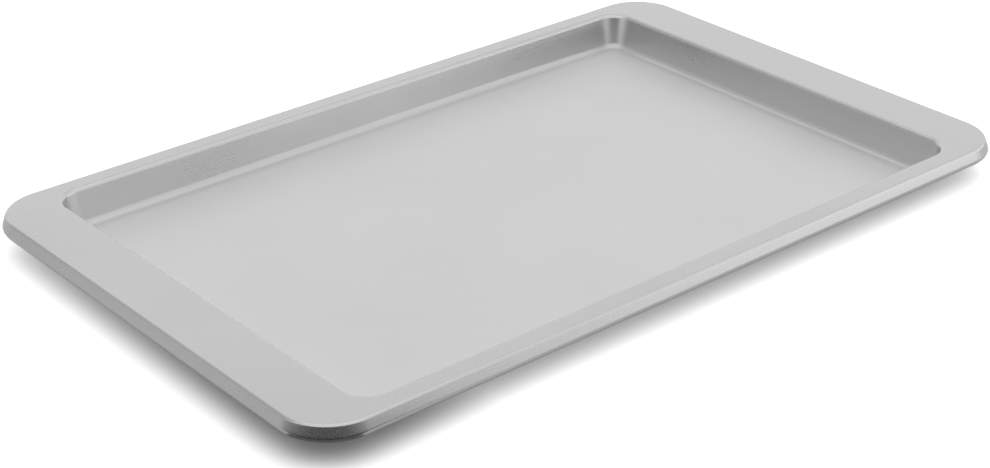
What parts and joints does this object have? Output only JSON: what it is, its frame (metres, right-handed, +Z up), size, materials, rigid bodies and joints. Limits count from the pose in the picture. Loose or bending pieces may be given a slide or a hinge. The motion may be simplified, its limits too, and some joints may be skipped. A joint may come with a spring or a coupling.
{
  "type": "jelly roll pan",
  "caption": "Shallow rectangular baking pan pressed from one satin steel sheet, with a flat rim that widens into a handle at each end and an edge rolled round a steel wire.",
  "frame": {"origin": "centre of the pan on the surface that it rests on", "axes": "+X along the pan, from one handle to the other; +Z up, out of the tray"},
  "size_m": [0.446, 0.279, 0.02],
  "materials": {
    "pan_sheet": "satin, light grey coating with a fine even grain",
    "rim_wire": "plain drawn wire"
  },
  "bodies": {
    "root": {"pan_body": "pan_sheet", "rim_wire": "rim_wire"}
  },
  "joints": []
}
